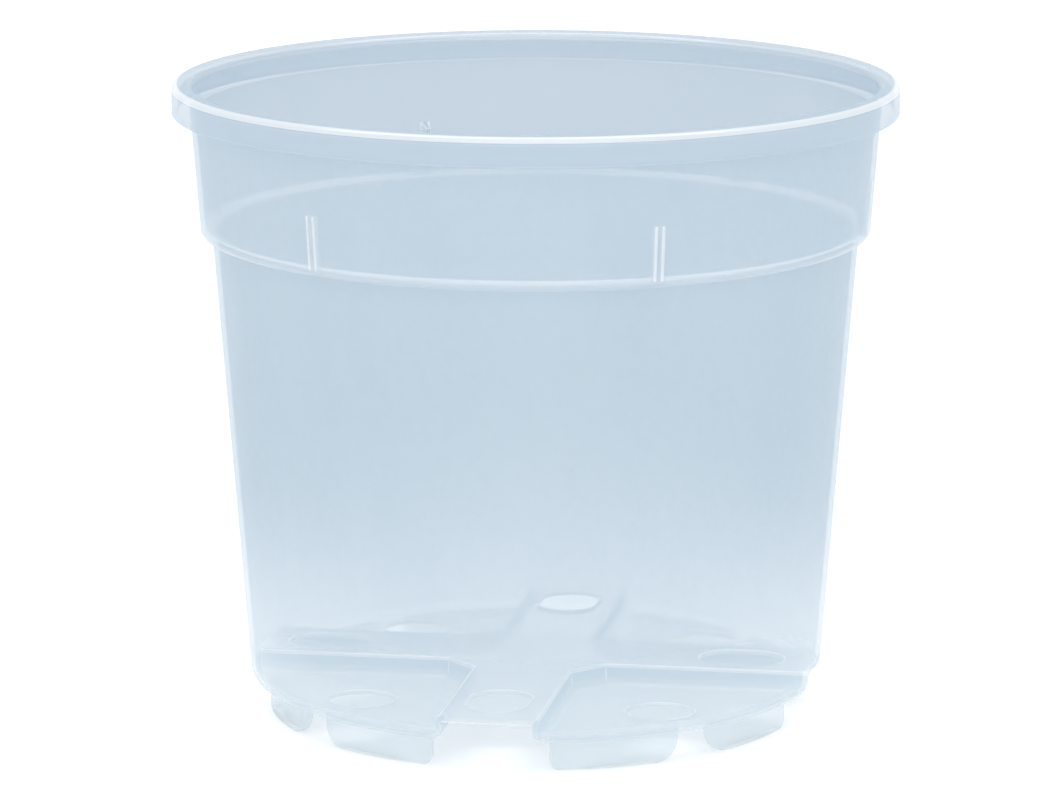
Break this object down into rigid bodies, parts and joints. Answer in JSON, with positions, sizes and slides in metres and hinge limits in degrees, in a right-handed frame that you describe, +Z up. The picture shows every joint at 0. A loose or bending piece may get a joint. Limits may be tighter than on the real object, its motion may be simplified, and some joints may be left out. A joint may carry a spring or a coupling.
{
  "type": "slotted orchid pot",
  "caption": "Round tapered translucent orchid pot with a rolled rim, stacking ledge, raised cross-channel floor with drain slots and holes, and short feet.",
  "frame": {"origin": "centre of the pot at ground level, where its feet stand", "axes": "+Z up along the pot's axis; +X and +Y along the two crossing channels under the floor"},
  "size_m": [0.13, 0.13, 0.1144],
  "materials": {
    "polypropylene": "translucent bluish milky moulded plastic, smooth with a soft sheen"
  },
  "bodies": {
    "root": {"rim_lip": "polypropylene", "collar": "polypropylene", "stacking_ledge": "polypropylene", "side_wall": "polypropylene", "channel_floor": "polypropylene", "base_lobe_1": "polypropylene", "base_lobe_2": "polypropylene", "base_lobe_3": "polypropylene", "base_lobe_4": "polypropylene", "foot_1": "polypropylene", "foot_2": "polypropylene", "foot_3": "polypropylene", "foot_4": "polypropylene", "foot_5": "polypropylene", "foot_6": "polypropylene", "foot_7": "polypropylene", "foot_8": "polypropylene", "stacking_rib_1": "polypropylene", "stacking_rib_2": "polypropylene", "stacking_rib_3": "polypropylene", "stacking_rib_4": "polypropylene", "stacking_rib_5": "polypropylene", "stacking_rib_6": "polypropylene"}
  },
  "joints": []
}
